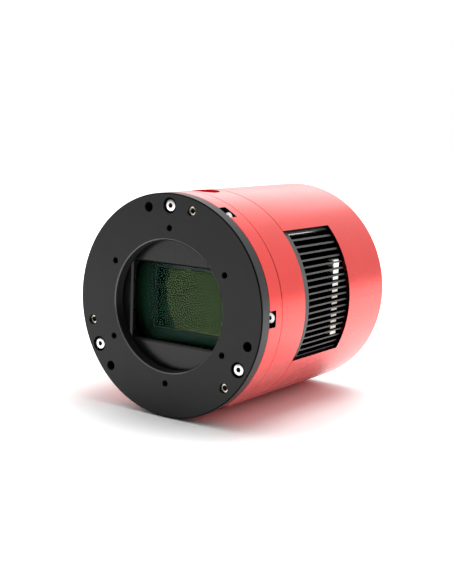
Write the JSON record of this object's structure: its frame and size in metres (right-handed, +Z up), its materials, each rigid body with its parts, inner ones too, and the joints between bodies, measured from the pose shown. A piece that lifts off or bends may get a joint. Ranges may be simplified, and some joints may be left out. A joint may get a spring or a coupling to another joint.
{
  "type": "cooled astronomy camera",
  "caption": "Cylindrical cooled astronomy camera with a tilt plate and threaded front, oblong sensor window, red shells, side vents over a finned heat sink, and a rear fan cover.",
  "frame": {"origin": "centre of the tilt plate's front face, on the optical axis", "axes": "-Y looks out of the front thread towards the telescope, +Y runs to the rear cover, +Z up with the camera lying on its side, +X to the right seen from the front"},
  "size_m": [0.09, 0.0977, 0.09],
  "materials": {
    "black_anodised": "satin black anodising",
    "heat_sink_black": "matt black anodising",
    "red_anodised": "satin red anodising",
    "cover_black": "fine bead-blasted black anodising",
    "bright_aluminium": "machined, uncoated",
    "screw_steel": "stainless steel",
    "port_metal": "nickel plated",
    "seal_rubber": "matt",
    "insulation_foam": "closed-cell foam",
    "window_glass": "anti-reflection coated",
    "sensor_glass": "anti-reflection coated",
    "heater_film": "polyimide film",
    "desiccant_white": "pressed tablet",
    "package_ceramic": "dark ceramic",
    "sensor_silicon": "polished silicon",
    "circuit_board": "solder mask",
    "chip_plastic": "moulded epoxy",
    "cooler_ceramic": "alumina",
    "cooler_metal": "metal posts",
    "fan_plastic": "glass-filled moulding",
    "magnet": "bonded ferrite",
    "stator_copper": "enamelled windings",
    "port_plastic": "moulded contact carrier",
    "jack_plastic": "moulded",
    "flex_film": "polyimide film",
    "connector_plastic": "moulded nylon"
  },
  "bodies": {
    "housing": {"case_screws": "screw_steel", "chamber_mask": "black_anodised", "cold_finger": "bright_aluminium", "cooler_ceramics": "cooler_ceramic", "cooler_pellets": "cooler_metal", "dc_jack": "jack_plastic", "dc_jack_pin": "port_metal", "fan_bearings": "port_metal", "fan_frame": "fan_plastic", "fan_screws": "screw_steel", "fan_stator": "stator_copper", "fin_tie_bars": "bright_aluminium", "flex_cable": "flex_film", "flex_connectors": "connector_plastic", "front_ring": "red_anodised", "front_ring_screws": "screw_steel", "heat_sink": "heat_sink_black", "heat_sink_screws": "screw_steel", "heat_sink_seal": "seal_rubber", "insulation_pad": "insulation_foam", "main_board": "circuit_board", "main_board_chips": "chip_plastic", "mask_screws": "screw_steel", "middle_seal": "seal_rubber", "middle_shell": "red_anodised", "rear_cover": "cover_black", "rear_shell": "red_anodised", "sensor_board": "circuit_board", "sensor_board_chips": "chip_plastic", "sensor_cover_glass": "sensor_glass", "sensor_die": "sensor_silicon", "sensor_package": "package_ceramic", "sensor_standoffs": "bright_aluminium", "tilt_pull_screws": "screw_steel", "usb_a_ports": "port_metal", "usb_a_tongues": "port_plastic", "usb_b_port": "port_metal", "usb_b_tongue": "port_plastic", "window_glass": "window_glass", "window_heater": "heater_film", "window_seal": "seal_rubber"},
    "tilt_ring": {"tilt_seal": "seal_rubber"},
    "plate": {"tilt_plate": "black_anodised", "tilt_push_screws": "screw_steel"},
    "plug_carrier": {"plug_o_ring": "seal_rubber"},
    "plug": {"desiccant_plug": "red_anodised", "desiccant_tablet": "desiccant_white"},
    "fan": {"fan_rotor": "fan_plastic", "fan_magnet": "magnet", "fan_shaft": "screw_steel"}
  },
  "joints": [
    {"name": "fan_spin", "type": "hinge", "parent": "housing", "child": "fan", "pos_m": [0, 0.087, 0], "axis": [0, 1, 0], "continuous": true},
    {"name": "plate_pitch", "type": "hinge", "parent": "housing", "child": "tilt_ring", "pos_m": [0, 0.0051, 0], "axis": [1, 0, 0], "range_deg": [-0.15, 0.15]},
    {"name": "plate_yaw", "type": "hinge", "parent": "tilt_ring", "child": "plate", "pos_m": [0, 0.0051, 0], "axis": [0, 0, 1], "range_deg": [-0.15, 0.15]},
    {"name": "plug_lift", "type": "slide", "parent": "housing", "child": "plug_carrier", "axis": [0, 0, 1], "range_m": [0, 0.003]},
    {"name": "plug_turn", "type": "hinge", "parent": "plug_carrier", "child": "plug", "pos_m": [0, 0.0227, 0.041], "axis": [0, 0, 1], "range_deg": [0, 1085]}
  ],
  "couplings": [
    {"joint": "plug_turn", "follows": "plug_lift", "rad_per_m": 6283.2}
  ]
}
